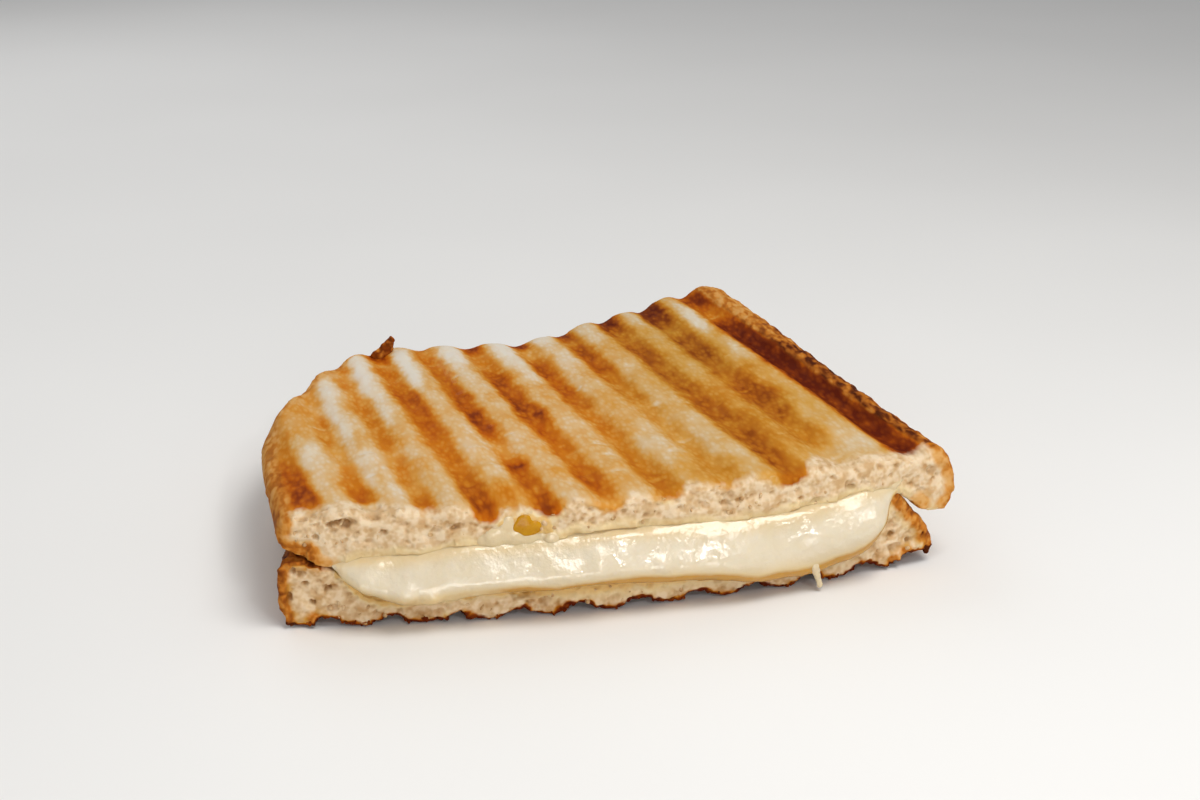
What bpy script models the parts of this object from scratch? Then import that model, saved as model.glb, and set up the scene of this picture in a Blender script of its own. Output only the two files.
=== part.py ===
# Half of a pressed cheese sandwich, cut straight across: two slices of white bread with the grooves
# of a ridged grill, and melted cheese that runs through between them and bulges from the cut.
# The cut faces -Y, +X runs along it, and the half lies flat on z = 0.
import math

import bmesh
import bpy
from mathutils import Vector, noise

MM = 0.001  # the sizes below are in millimetres

# The whole half
THICKNESS = 21.0  # at the cut, over the crests
TOP_FALL = [(0.0, 0.032), (25.0, 0.038), (52.0, 0.050), (75.0, 0.030), (100.0, 0.002)]  # (x, mm per mm back)
CUT_BOW = 5.6  # how far the ends of the cut lie behind its middle
CUT_BOW_CENTRE = 51.0
CUT_BOW_FRONT = -2.4

# The outline of each slice from above, from the cut round to the cut again
UPPER = {
    "left": [(-3.0, 2.9), (-4.3, 35.0), (-2.8, 52.0), (5.5, 70.0)],
    "back": [(5.5, 70.0), (12.5, 84.0), (20.0, 91.8), (35.0, 94.3), (55.0, 95.6), (76.0, 104.5),
             (89.0, 109.6), (96.5, 110.6), (100.6, 108.4)],
    "right": [(116.6, 5.4), (112.6, 30.0), (108.8, 60.0), (105.9, 85.0), (103.4, 101.0), (100.6, 108.4)],
}
LOWER = {
    "left": [(-3.6, 3.0), (-0.8, 20.0), (-0.4, 46.0), (7.0, 70.0)],
    "back": [(7.0, 70.0), (13.5, 82.0), (21.0, 89.5), (35.0, 92.5), (55.0, 93.8), (76.0, 102.3),
             (88.0, 107.0), (94.5, 108.0), (98.4, 105.6)],
    "right": [(112.4, 4.4), (109.4, 32.0), (106.2, 60.0), (103.4, 85.0), (101.2, 99.0), (98.4, 105.6)],
}
FILLING = {
    "left": [(4.4, 2.3), (6.0, 30.0), (8.0, 49.0), (15.5, 65.0)],
    "back": [(15.5, 65.0), (24.0, 79.0), (36.0, 83.5), (56.0, 85.0), (76.0, 93.5), (86.0, 97.5),
             (92.4, 96.4)],
    "right": [(104.8, 2.9), (101.6, 32.0), (98.4, 60.0), (95.6, 85.0), (92.4, 96.4)],
}

# The grooves that the grill's ridges pressed in
RIDGE_LEAN = 0.115  # mm to the left per mm back
TOP_RIDGES = [3.0, 13.0, 22.0, 31.3, 41.2, 51.6, 62.4, 73.2, 83.9, 94.2]  # x at the cut, a little uneven
TOP_RIDGE_WIDTH = 8.2
TOP_RIDGE_DEPTH = 1.35
LAST_RIDGE = {"x": 108.9, "lean": 0.15, "depth": 2.0, "full_from": 14.0}  # at the right crust, fades at the cut
CRUST_RISE = 0.8  # the crust stands above the toasted face beside it
CRUST_LEAN = 0.112  # the right crust, mm to the left per mm back
BASE_RIDGES = [5.0 + 10.4 * number for number in range(11)]
BASE_RIDGE_WIDTH = 7.6
BASE_RIDGE_DEPTH = 1.9

# Where the two slices part, at the cut: (x, height)
JOIN_LINE = [(-4.0, 13.1), (0.0, 12.9), (5.5, 11.4), (14.0, 8.9), (30.0, 9.7), (50.0, 10.2), (78.0, 10.0),
             (93.0, 10.6), (99.0, 12.2), (104.2, 14.6), (105.6, 13.8), (108.0, 10.6), (111.0, 8.6),
             (117.0, 8.4)]
JOIN_BACK = 0.46  # far from the cut it lies at this part of the thickness
JOIN_FADE = 46.0  # how far back the shape of the cut is felt
END_OPENING = 1.5  # the slices gape this much at the right crust
END_CURL = 1.2  # and the lower one lifts off there

# The melted cheese
CHEESE_DEEP = 3.4  # thickness far from the cut
CHEESE_SWELL = 5.4  # thickness added at the cut
CHEESE_SWELL_FADE = 24.0
CHEESE_RIM = 9.0  # it thins over this much of its edge
CHEESE_THIN = {"x": 18.0, "half_width": 20.0, "part": 0.14}  # thinner beside the left crust
CHEESE_EDGE = 0.1  # to this thickness
SLICE_CLEARANCE = 1.0  # the slices stay this far apart where there is no cheese
CHEESE_BULGE = 3.6  # how far it stands out of the cut
CHEESE_HANG = [(5.0, 10.5), (10.0, 6.3), (17.0, 3.3), (30.0, 3.6), (40.0, 4.9), (50.0, 5.9), (60.0, 5.4),
               (70.0, 4.2), (78.0, 3.4), (86.0, 4.4), (93.0, 6.3), (98.0, 7.6), (101.0, 11.0), (105.6, 14.4)]

# The torn dip in the top edge of the cut, and the swell beside it
DIP = {"x": 36.0, "half_width": 9.5, "height": 2.3, "reach": 9.0}
SWELL = {"x": 82.0, "half_width": 26.0, "height": 1.3, "reach": 60.0}

# How finely the pieces are divided
COLUMN_STEP = 1.75
EDGE_STEPS = [0.0, 0.5, 1.5, 3.0]
ROWS = [0.0, 0.015, 0.05, 0.12, 0.20, 0.29, 0.38, 0.47, 0.56, 0.65, 0.73, 0.79, 0.845, 0.895, 0.94, 0.975,
        0.993, 1.0]
CHEESE_COLUMN_STEP = 2.6
CHEESE_ROWS = [0.0, 0.05, 0.10, 0.15, 0.20, 0.26, 0.34, 0.46, 0.60, 0.74, 0.84, 0.90, 0.945, 0.98, 1.0]
CHEESE_FRONT_ANGLES = [68.0, 42.0, 14.0, -14.0, -42.0, -72.0]

COLOURS = {
    "bread_top": ((0.72, 0.44, 0.19, 1.0), 0.62),
    "cheese": ((0.93, 0.83, 0.56, 1.0), 0.25),
    "bread_bottom": ((0.70, 0.43, 0.20, 1.0), 0.70),
}


def smooth(value, low, high):
    part = min(max((value - low) / (high - low), 0.0), 1.0)
    return part * part * (3.0 - 2.0 * part)


def bump(value, centre, half_width):
    """1 at the centre, falling smoothly to 0 at the half width."""
    return 1.0 - smooth(abs(value - centre), 0.0, half_width)


def along(pairs, x):
    """The height at x of a line through a few (x, height) pairs, rounded between them."""
    if x <= pairs[0][0]:
        return pairs[0][1]
    for (x0, z0), (x1, z1) in zip(pairs, pairs[1:]):
        if x <= x1:
            return z0 + (z1 - z0) * smooth(x, x0, x1)
    return pairs[-1][1]


def waver(x, y, scale, seed):
    """Slow unevenness between about -1 and 1."""
    return noise.noise(Vector((x / scale, y / scale, seed)))


def curve_point(points, t):
    """A point of a smooth curve through the given ones, at part t of its length."""
    lengths = [math.dist(a, b) for a, b in zip(points, points[1:])]
    want = t * sum(lengths)
    index = 0
    while index < len(lengths) - 1 and want > lengths[index]:
        want -= lengths[index]
        index += 1
    part = min(want / lengths[index], 1.0)
    before = points[max(index - 1, 0)]
    start = points[index]
    end = points[index + 1]
    after = points[min(index + 2, len(points) - 1)]
    answer = []
    for a, b, c, d in zip(before, start, end, after):
        cubic = 2 * b + (c - a) * part + (2 * a - 5 * b + 4 * c - d) * part ** 2
        answer.append(0.5 * (cubic + (3 * b - a - 3 * c + d) * part ** 3))
    return Vector(answer)


def cut_y(x):
    """The line of the cut seen from above: a shallow bow."""
    return CUT_BOW_FRONT + CUT_BOW * ((x - CUT_BOW_CENTRE) / 57.0) ** 2


def plan_point(outline, t, s):
    """The point of a slice at part t of the way right and part s of the way back."""
    left = curve_point(outline["left"], s)
    right = curve_point(outline["right"], s)
    back = curve_point(outline["back"], t)
    front_left = Vector(outline["left"][0])
    front_right = Vector(outline["right"][0])
    back_left = Vector(outline["back"][0])
    back_right = Vector(outline["back"][-1])
    front_x = front_left.x + (front_right.x - front_left.x) * t
    ends_y = front_left.y + (front_right.y - front_left.y) * t
    bow = cut_y(front_x) - (cut_y(front_left.x) * (1 - t) + cut_y(front_right.x) * t)
    front = Vector((front_x, ends_y + bow))
    corners = (front_left * (1 - t) + front_right * t) * (1 - s) + (back_left * (1 - t) + back_right * t) * s
    return front * (1 - s) + back * s + left * (1 - t) + right * t - corners


def groove(away, width, depth):
    """How deep one ridge presses at a distance from its middle."""
    return depth * math.cos(math.pi * away / width) ** 2 if abs(away) < width / 2 else 0.0


def grooves(x, y, ridges, width, depth):
    """How deep a run of the grill's ridges presses at a point."""
    sinks = []
    for number, ridge in enumerate(ridges):
        uneven = 1.0 + 0.22 * waver(number * 7.3, y, 30.0, 2.0)
        sinks.append(groove(x - ridge + y * RIDGE_LEAN, width, depth * uneven))
    return max(sinks)


def face_height(x, y):
    """The pressed face without its grooves."""
    return THICKNESS - along(TOP_FALL, x) * max(y, 0.0)


def top_height(x, y):
    height = face_height(x, y) + 0.35 * waver(x, y, 24.0, 5.0)
    for form, sign in ((SWELL, 1.0), (DIP, -1.0)):
        near_cut = 1.0 - smooth(y, -3.0, form["reach"])
        height += sign * form["height"] * bump(x, form["x"], form["half_width"]) * near_cut
    past_last = x - LAST_RIDGE["x"] + y * LAST_RIDGE["lean"]
    height += CRUST_RISE * smooth(past_last, 0.0, 3.5)
    sink = grooves(x, y, TOP_RIDGES, TOP_RIDGE_WIDTH, TOP_RIDGE_DEPTH)
    last = groove(past_last, TOP_RIDGE_WIDTH, LAST_RIDGE["depth"])
    last *= 0.25 + 0.75 * smooth(y, 2.0, LAST_RIDGE["full_from"])
    return height - max(sink, last)


def base_height(x, y):
    curl = END_CURL * smooth(x + y * CRUST_LEAN, 93.0, 112.0) * (1.0 - smooth(y, 0.0, JOIN_FADE))
    return curl + grooves(x, y, BASE_RIDGES, BASE_RIDGE_WIDTH, BASE_RIDGE_DEPTH)


def join_height(x, y):
    """The middle height between the slices."""
    near = 1.0 - smooth(y, 0.0, JOIN_FADE)
    middle = along(JOIN_LINE, x + y * CRUST_LEAN * smooth(x, 20.0, 100.0))
    deep = JOIN_BACK * face_height(x, y)
    return deep + (middle - deep) * (0.22 + 0.78 * near) + 0.3 * waver(x, y, 17.0, 9.0)


def filling_room(x, y):
    """How thick the cheese may be at a point: nothing outside its outline."""
    edge = FILLING_EDGE.distance(x, y)
    full = CHEESE_DEEP + CHEESE_SWELL * (1.0 - smooth(y, -2.0, CHEESE_SWELL_FADE))
    full *= 1.0 + 0.12 * waver(x, y, 21.0, 14.0)
    full *= 1.0 - CHEESE_THIN["part"] * bump(x, CHEESE_THIN["x"], CHEESE_THIN["half_width"])
    return full * smooth(edge, 0.0, CHEESE_RIM)


class Edge:
    """The crust side of an outline, as a run of points, for distances to it."""

    def __init__(self, outline, steps=24):
        parts = [step / steps for step in range(steps + 1)]
        sides = [[curve_point(outline[side], part) for part in parts] for side in ("left", "back", "right")]
        self.sides = [list(zip(side, side[1:])) for side in sides]
        self.left = sides[0]
        self.right = sides[2]

    def distance(self, x, y):
        """Distance inwards from the crust side, negative outside."""
        point = Vector((x, max(y, self.left[0].y)))
        nearest = min(self.to_segment(point, a, b) for side in self.sides for a, b in side)
        return nearest if self.inside(point) else -nearest

    def inside(self, point):
        turns = 0
        run = [segment for side in self.sides[:2] for segment in side]
        run += [(b, a) for a, b in reversed(self.sides[2])]
        low = Vector((0.0, -50.0))
        run = [(self.left[0] + low, self.left[0])] + run + [(self.right[0], self.right[0] + low)]
        run.append((run[-1][1], run[0][0]))
        for a, b in run:
            if (a.y > point.y) != (b.y > point.y):
                crossing = a.x + (point.y - a.y) * (b.x - a.x) / (b.y - a.y)
                turns += crossing > point.x
        return turns % 2 == 1

    @staticmethod
    def to_segment(point, a, b):
        run = b - a
        part = min(max((point - a).dot(run) / run.length_squared, 0.0), 1.0)
        return (point - a - run * part).length


FILLING_EDGE = Edge(FILLING)


def gape(x, y):
    """How far apart the slices stand beside the cheese: more on a slope and at the right crust."""
    slope = join_height(x + 0.5, y) - join_height(x - 0.5, y)
    end = END_OPENING * smooth(x + y * CRUST_LEAN, 105.0, 110.0)
    return SLICE_CLEARANCE * (1.0 + 0.4 * abs(slope)) + end


def upper_under(x, y):
    return join_height(x, y) + 0.5 * (filling_room(x, y) + gape(x, y))


def lower_over(x, y):
    return join_height(x, y) - 0.5 * (filling_room(x, y) + gape(x, y))


def rounding(distance, radius, power):
    """0 at the crust's outermost line, 1 past the radius."""
    if distance >= radius:
        return 1.0
    inward = 1.0 - max(distance, 0.0) / radius
    return (1.0 - inward ** power) ** (1.0 / power)


def steps_between(length, step):
    """Parts from 0 to 1, close together at both ends."""
    inner = max(round((length - 2 * EDGE_STEPS[-1]) / step), 2)
    near = [offset / length for offset in EDGE_STEPS]
    gap = (1.0 - 2 * near[-1]) / inner
    middle = [near[-1] + gap * number for number in range(1, inner)]
    return near + middle + [1.0 - part for part in reversed(near)]


def slice_sheets(outline, over, under, crust):
    """The upper and lower faces of a slice, as rows of points from the cut back."""
    width = outline["right"][0][0] - outline["left"][0][0]
    columns = steps_between(width, COLUMN_STEP)
    upper, lower = [], []
    for s in ROWS:
        upper_row, lower_row = [], []
        for t in columns:
            plan = plan_point(outline, t, s)
            to_left = (plan - plan_point(outline, 0.0, s)).length
            to_right = (plan - plan_point(outline, 1.0, s)).length
            to_back = (plan - plan_point(outline, t, 1.0)).length
            pulls = [math.exp(-away / 6.0) for away in (to_left, to_right, to_back)]
            parts = (crust["left_part"], crust["right_part"], crust["back_part"])
            part = sum(pull * share for pull, share in zip(pulls, parts)) / max(sum(pulls), 1e-9)
            x, y = plan
            middle = under(x, y) + part * (over(x, y) - under(x, y))
            over_round = under_round = 1.0
            for away, side in ((to_left, "left"), (to_right, "right"), (to_back, "back")):
                over_round *= rounding(away, *crust[side + "_over"])
                under_round *= rounding(away, *crust[side + "_under"])
            upper_row.append(Vector((x, y, middle + (over(x, y) - middle) * over_round)))
            lower_row.append(Vector((x, y, middle - (middle - under(x, y)) * under_round)))
        upper.append(upper_row)
        lower.append(lower_row)
    return upper, lower


def cut_rows(upper_line, lower_line, parts, roughness, seed):
    """Rows of the cut face between the slice's two front lines, a little hollow and uneven."""
    rows = []
    for part in parts:
        row = []
        for top, low in zip(upper_line, lower_line):
            point = top.lerp(low, part)
            uneven = 0.5 + 0.5 * waver(point.x, point.z * 3.0, 3.4, seed)
            point.y += roughness * uneven * bump(part, 0.5, 0.5)
            row.append(point)
        rows.append(row)
    return rows


def closed_piece(name, upper, front, lower):
    """One closed body: an upper face, a front and a lower face that share the line of the crust."""
    colour, roughness = COLOURS[name]
    shell = bmesh.new()
    last = len(upper[0]) - 1
    rows = len(upper)

    def add(point):
        return shell.verts.new(point * MM)

    over = [[add(point) for point in row] for row in upper]
    below = []
    for number, row in enumerate(lower):
        if number == rows - 1:
            below.append(over[number])
            continue
        middle = [add(point) for point in row[1:-1]]
        below.append([over[number][0]] + middle + [over[number][last]])
    face_rows = [over[0]]
    for row in front:
        face_rows.append([over[0][0]] + [add(point) for point in row[1:-1]] + [over[0][last]])
    face_rows.append(below[0])
    for sheet in (over, below, face_rows):
        for near, far in zip(sheet, sheet[1:]):
            for column in range(last):
                a, b, c, d = near[column], near[column + 1], far[column + 1], far[column]
                halves = [(a, b, d), (b, c, d)]  # the dividing edge leans as the grooves do
                if column == last - 1:
                    halves = [(a, b, c), (a, c, d)]  # no triangle lies wholly on the crust's line
                for corners in halves:
                    if len(set(corners)) == 3:
                        shell.faces.new(corners)
    bmesh.ops.recalc_face_normals(shell, faces=shell.faces)
    if shell.calc_volume(signed=True) < 0.0:
        bmesh.ops.reverse_faces(shell, faces=shell.faces)
    print(name, "holds", round(shell.calc_volume() / MM ** 3 / 1000.0, 1), "cm3")
    mesh = bpy.data.meshes.new(name)
    shell.to_mesh(mesh)
    shell.free()
    mesh.shade_smooth()
    mesh.set_sharp_from_angle(angle=math.radians(50.0))
    piece = bpy.data.objects.new(name, mesh)
    bpy.context.collection.objects.link(piece)
    finish = bpy.data.materials.new(name)
    finish.use_nodes = True
    shader = finish.node_tree.nodes["Principled BSDF"]
    shader.inputs["Base Color"].default_value = colour
    shader.inputs["Roughness"].default_value = roughness
    shader.inputs["Metallic"].default_value = 0.0
    mesh.materials.append(finish)
    return piece


def make_bread_top():
    crust = {
        "left_part": 0.42, "left_over": (6.0, 2.2), "left_under": (9.0, 1.4),
        "right_part": 0.30, "right_over": (5.2, 2.3), "right_under": (3.2, 2.0),
        "back_part": 0.55, "back_over": (4.0, 2.6), "back_under": (4.0, 2.0),
    }
    upper, lower = slice_sheets(UPPER, top_height, upper_under, crust)
    front = cut_rows(upper[0], lower[0], (0.35, 0.7), 1.0, 31.0)
    return closed_piece("bread_top", upper, front, lower)


def make_bread_bottom():
    crust = {
        "left_part": 0.52, "left_over": (2.6, 2.4), "left_under": (3.0, 2.2),
        "right_part": 0.33, "right_over": (4.6, 2.0), "right_under": (2.4, 2.0),
        "back_part": 0.58, "back_over": (3.6, 2.2), "back_under": (3.4, 2.2),
    }
    upper, lower = slice_sheets(LOWER, lower_over, base_height, crust)
    front = cut_rows(upper[0], lower[0], (0.35, 0.7), 0.8, 37.0)
    return closed_piece("bread_bottom", upper, front, lower)


def make_cheese():
    width = FILLING["right"][0][0] - FILLING["left"][0][0]
    columns = steps_between(width, CHEESE_COLUMN_STEP)
    upper, lower = [], []
    for s in CHEESE_ROWS:
        upper_row, lower_row = [], []
        for t in columns:
            x, y = plan_point(FILLING, t, s)
            y += 0.6 * (1.0 - s)
            thick = filling_room(x, y) + CHEESE_EDGE
            upper_row.append(Vector((x, y, join_height(x, y) + 0.5 * thick)))
            lower_row.append(Vector((x, y, join_height(x, y) - 0.5 * thick)))
        upper.append(upper_row)
        lower.append(lower_row)
    front = []
    for angle in CHEESE_FRONT_ANGLES:
        row = []
        for top, low in zip(upper[0], lower[0]):
            ends = smooth(top.z - low.z, 0.0, 5.0)
            hang = min(along(CHEESE_HANG, top.x), low.z)
            hang = low.z + (hang - low.z) * ends
            crest = top.z - 0.3 * ends
            out = CHEESE_BULGE * ends * (1.0 + 0.25 * waver(top.x, 0.0, 11.0, 41.0))
            y = cut_y(top.x) - 0.45 - out * math.cos(math.radians(angle)) ** 0.8
            z = 0.5 * (crest + hang) + 0.5 * (crest - hang) * math.sin(math.radians(angle))
            row.append(Vector((top.x, y, z)))
        front.append(row)
    front.append([Vector((low.x, cut_y(low.x) - 0.45, low.z)) for low in lower[0]])
    return closed_piece("cheese", upper, front, lower)


def centre_on_base(pieces):
    """Puts the origin under the middle of the half, on the surface that it lies on."""
    points = [vertex.co for piece in pieces for vertex in piece.data.vertices]
    low = Vector([min(point[axis] for point in points) for axis in range(3)])
    high = Vector([max(point[axis] for point in points) for axis in range(3)])
    shift = Vector((-0.5 * (low.x + high.x), -0.5 * (low.y + high.y), -low.z))
    for piece in pieces:
        for vertex in piece.data.vertices:
            vertex.co += shift
    return shift


def main():
    for leftover in list(bpy.data.objects):
        bpy.data.objects.remove(leftover, do_unlink=True)
    pieces = [make_bread_top(), make_cheese(), make_bread_bottom()]
    shift = centre_on_base(pieces)
    for piece in pieces:
        print(piece.name, len(piece.data.polygons), "faces")
    print("moved by", [round(value / MM, 3) for value in shift], "mm")


main()
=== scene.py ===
import math

import bpy
import numpy as np
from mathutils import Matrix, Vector, kdtree, noise


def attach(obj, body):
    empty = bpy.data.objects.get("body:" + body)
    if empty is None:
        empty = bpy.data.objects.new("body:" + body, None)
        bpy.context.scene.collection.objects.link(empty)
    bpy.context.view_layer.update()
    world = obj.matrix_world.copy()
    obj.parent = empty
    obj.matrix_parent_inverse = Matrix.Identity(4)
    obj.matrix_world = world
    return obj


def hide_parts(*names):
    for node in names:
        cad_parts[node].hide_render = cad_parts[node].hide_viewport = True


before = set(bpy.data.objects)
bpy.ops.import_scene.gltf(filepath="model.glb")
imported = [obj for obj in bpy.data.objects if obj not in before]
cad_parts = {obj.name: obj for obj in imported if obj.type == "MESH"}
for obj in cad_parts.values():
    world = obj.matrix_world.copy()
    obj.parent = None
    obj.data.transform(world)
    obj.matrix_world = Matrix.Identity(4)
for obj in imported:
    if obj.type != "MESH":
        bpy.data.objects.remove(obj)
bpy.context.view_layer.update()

noise.seed_set(7)  # without a seed, noise_vector differs from run to run

# Lengths in the dictionaries are millimetres from the left end of the cut:
# x along the cut, y back into the half, z up from the surface it lies on.
mm = 0.001
cutEnd = (-56.151, -52.156)  # where that end lies from the origin
cutBow = {"front": -2.4, "depth": 5.6, "middle": 51.0, "half": 57.0}  # the cut bows forward
breadLayers = ("toast", "crumb", "crust", "pit", "olive", "grease")  # what the bread's material reads


def cutLine(x):
    return cutBow["front"] + cutBow["depth"] * ((x - cutBow["middle"]) / cutBow["half"]) ** 2


def behindCut(points):
    return points[:, 1] - cutLine(points[:, 0])


def fromCutEnd(flat):  # from the mesh's metres
    points = flat.reshape(-1, 3) / mm
    points[:, 0] -= cutEnd[0]
    points[:, 1] -= cutEnd[1]
    return points


# Picking and shaping

def pickOnly(piece):
    bpy.ops.object.select_all(action="DESELECT")
    piece.select_set(True)
    bpy.context.view_layer.objects.active = piece


def finishWith(kind, **settings):
    piece = bpy.context.object
    bpy.ops.object.modifier_add(type=kind)
    change = piece.modifiers[-1]
    for name, value in settings.items():
        setattr(change, name, value)
    bpy.ops.object.modifier_apply(modifier=change.name)


def readPoints(piece):
    flat = np.empty(len(piece.data.vertices) * 3)
    piece.data.vertices.foreach_get("co", flat)
    return fromCutEnd(flat)


def writePoints(piece, points):
    points = points.copy()
    points[:, 0] += cutEnd[0]
    points[:, 1] += cutEnd[1]
    piece.data.vertices.foreach_set("co", (points * mm).ravel())
    piece.data.update()


def readNormals(piece):
    flat = np.empty(len(piece.data.vertices) * 3)
    piece.data.vertex_normals.foreach_get("vector", flat)
    return flat.reshape(-1, 3)


def ease(value, low, high):
    part = np.clip((value - low) / (high - low), 0.0, 1.0)
    return part * part * (3.0 - 2.0 * part)


def uneven(points, size, seed, flat=False):  # slow noise, about -1 to 1; size is one length or three
    sizes = np.ones(3) * size
    places = points / sizes
    if flat:
        places = places.copy()
        places[:, 2] = 0.0
    places = places + np.array([seed * 3.7, seed * 1.3, seed])
    return np.array([noise.noise(Vector(place)) for place in places])


def spread(piece, name, values):  # keeps a value on each point for the material
    layer = piece.data.attributes.new(name, "FLOAT", "POINT")
    layer.data.foreach_set("value", np.asarray(values, dtype=np.float32))


def breadValues(piece, **values):
    count = len(piece.data.vertices)
    for name in breadLayers:
        spread(piece, name, np.full(count, values.get(name, 0.0)))


def cheeseValues(piece, thin, edges):
    count = len(piece.data.vertices)
    spread(piece, "thin", np.full(count, thin))
    spread(piece, "edges", np.full(count, edges))


def groupPoints(piece, name, weights, steps=12):
    group = piece.vertex_groups.new(name=name)
    levels = np.round(np.clip(weights, 0, 1) * steps).astype(int)
    for level in range(1, steps + 1):
        members = np.nonzero(levels == level)[0]
        if len(members):
            group.add(members.tolist(), level / steps, "REPLACE")


def roughen(name, size, depth, group="", octaves=1):
    grain = bpy.data.textures.new(name, type="CLOUDS")
    grain.noise_scale = size * mm
    grain.noise_depth = octaves
    finishWith("DISPLACE", texture=grain, texture_coords="LOCAL", strength=depth * mm, mid_level=0.5,
               vertex_group=group)


def easeFacets(times):  # smooths and swells by turns, so that the piece keeps its size
    for _ in range(times):
        finishWith("SMOOTH", factor=0.6, iterations=1)
        finishWith("SMOOTH", factor=-0.62, iterations=1)


def castFromNode(nodeName, pieceName, voxel, easing):
    piece = bpy.data.objects.new(pieceName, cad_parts[nodeName].data.copy())
    bpy.context.scene.collection.objects.link(piece)
    pickOnly(piece)
    piece.data.materials.clear()
    bpy.ops.object.mode_set(mode="EDIT")
    bpy.ops.mesh.select_all(action="SELECT")
    bpy.ops.mesh.remove_doubles(threshold=0.00001)
    bpy.ops.mesh.normals_make_consistent(inside=False)
    bpy.ops.object.mode_set(mode="OBJECT")
    finishWith("REMESH", mode="VOXEL", voxel_size=voxel * mm)
    easeFacets(easing)
    return piece


def splitFaces(piece, chosen):  # halves the edges of the chosen faces
    bpy.ops.object.mode_set(mode="EDIT")
    bpy.ops.mesh.select_mode(type="FACE")
    bpy.ops.mesh.select_all(action="DESELECT")
    bpy.ops.object.mode_set(mode="OBJECT")
    piece.data.polygons.foreach_set("select", chosen)
    bpy.ops.object.mode_set(mode="EDIT")
    bpy.ops.mesh.subdivide(number_cuts=1)
    bpy.ops.mesh.select_mode(type="VERT")
    bpy.ops.object.mode_set(mode="OBJECT")


def faceFacts(piece):  # each face's middle, its normal and how far it lies behind the cut
    count = len(piece.data.polygons)
    centres = np.empty(count * 3)
    normals = np.empty(count * 3)
    piece.data.polygons.foreach_get("center", centres)
    piece.data.polygons.foreach_get("normal", normals)
    centres = fromCutEnd(centres)
    return centres, normals.reshape(-1, 3), behindCut(centres)


def rideOn(piece, material):
    piece.data.materials.clear()
    piece.data.materials.append(material)
    pickOnly(piece)
    bpy.ops.object.shade_smooth()
    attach(piece, "root")


# Materials

def nodeKit(name):
    material = bpy.data.materials.new(name)
    material.use_nodes = True
    tree = material.node_tree
    shader = tree.nodes["Principled BSDF"]
    place = tree.nodes.new("ShaderNodeTexCoord")

    def value(kind, operation=None, inputs=(), **settings):
        node = tree.nodes.new(kind)
        if operation:
            node.operation = operation
        for setting, content in settings.items():
            setattr(node, setting, content)
        for socket, content in inputs:
            if isinstance(content, bpy.types.NodeSocket):
                tree.links.new(content, node.inputs[socket])
            else:
                node.inputs[socket].default_value = content
        return node

    def layer(attribute):
        return value("ShaderNodeAttribute", attribute_name=attribute).outputs["Fac"]

    def stretched(stretch):
        spot = value("ShaderNodeMapping", inputs=[("Vector", place.outputs["Object"]), ("Scale", stretch)])
        return spot.outputs["Vector"]

    def speckle(size, detail=4.0, roughness=0.55, stretch=(1, 1, 1)):  # soft noise
        grain = value("ShaderNodeTexNoise", inputs=[
            ("Vector", stretched(stretch)), ("Scale", 1.0 / (size * mm)), ("Detail", detail),
            ("Roughness", roughness)])
        return grain.outputs["Fac"]

    def cells(size, stretch=(1, 1, 1)):  # round grains, 0 in the middle of each
        grain = value("ShaderNodeTexVoronoi", inputs=[
            ("Vector", stretched(stretch)), ("Scale", 1.0 / (size * mm))])
        return grain.outputs["Distance"]

    def sums(operation, a, b):
        return value("ShaderNodeMath", operation, [(0, a), (1, b)]).outputs["Value"]

    def between(fac, low, high, fromLow=0.0, fromHigh=1.0):
        node = value("ShaderNodeMapRange", inputs=[
            ("Value", fac), ("From Min", fromLow), ("From Max", fromHigh), ("To Min", low), ("To Max", high)])
        return node.outputs["Result"]

    def ramp(fac, stops, low=0.0, high=1.0):
        node = value("ShaderNodeValToRGB", inputs=[("Fac", between(fac, 0.0, 1.0, low, high))])
        points = node.color_ramp.elements
        while len(points) < len(stops):
            points.new(1.0)
        for point, (spot, colour) in zip(points, stops):
            point.position = (spot - low) / (high - low)
            point.color = (*colour, 1.0)
        return node.outputs["Color"]

    def blend(fac, a, b):
        node = value("ShaderNodeMix", data_type="RGBA")
        for socket, content in ((0, fac), (6, a), (7, b)):
            if isinstance(content, bpy.types.NodeSocket):
                tree.links.new(content, node.inputs[socket])
            else:
                node.inputs[socket].default_value = content if socket == 0 else (*content, 1.0)
        return node.outputs[2]

    def bump(height, strength, depth):
        node = value("ShaderNodeBump", inputs=[
            ("Height", height), ("Strength", strength), ("Distance", depth * mm)])
        return node.outputs["Normal"]

    def finish(colour, roughness, normal, **fixed):
        tree.links.new(colour, shader.inputs["Base Color"])
        tree.links.new(roughness, shader.inputs["Roughness"])
        tree.links.new(normal, shader.inputs["Normal"])
        for socket, content in fixed.items():
            shader.inputs[socket.replace("_", " ")].default_value = content
        return material

    return layer, speckle, cells, sums, between, ramp, blend, bump, finish


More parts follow.
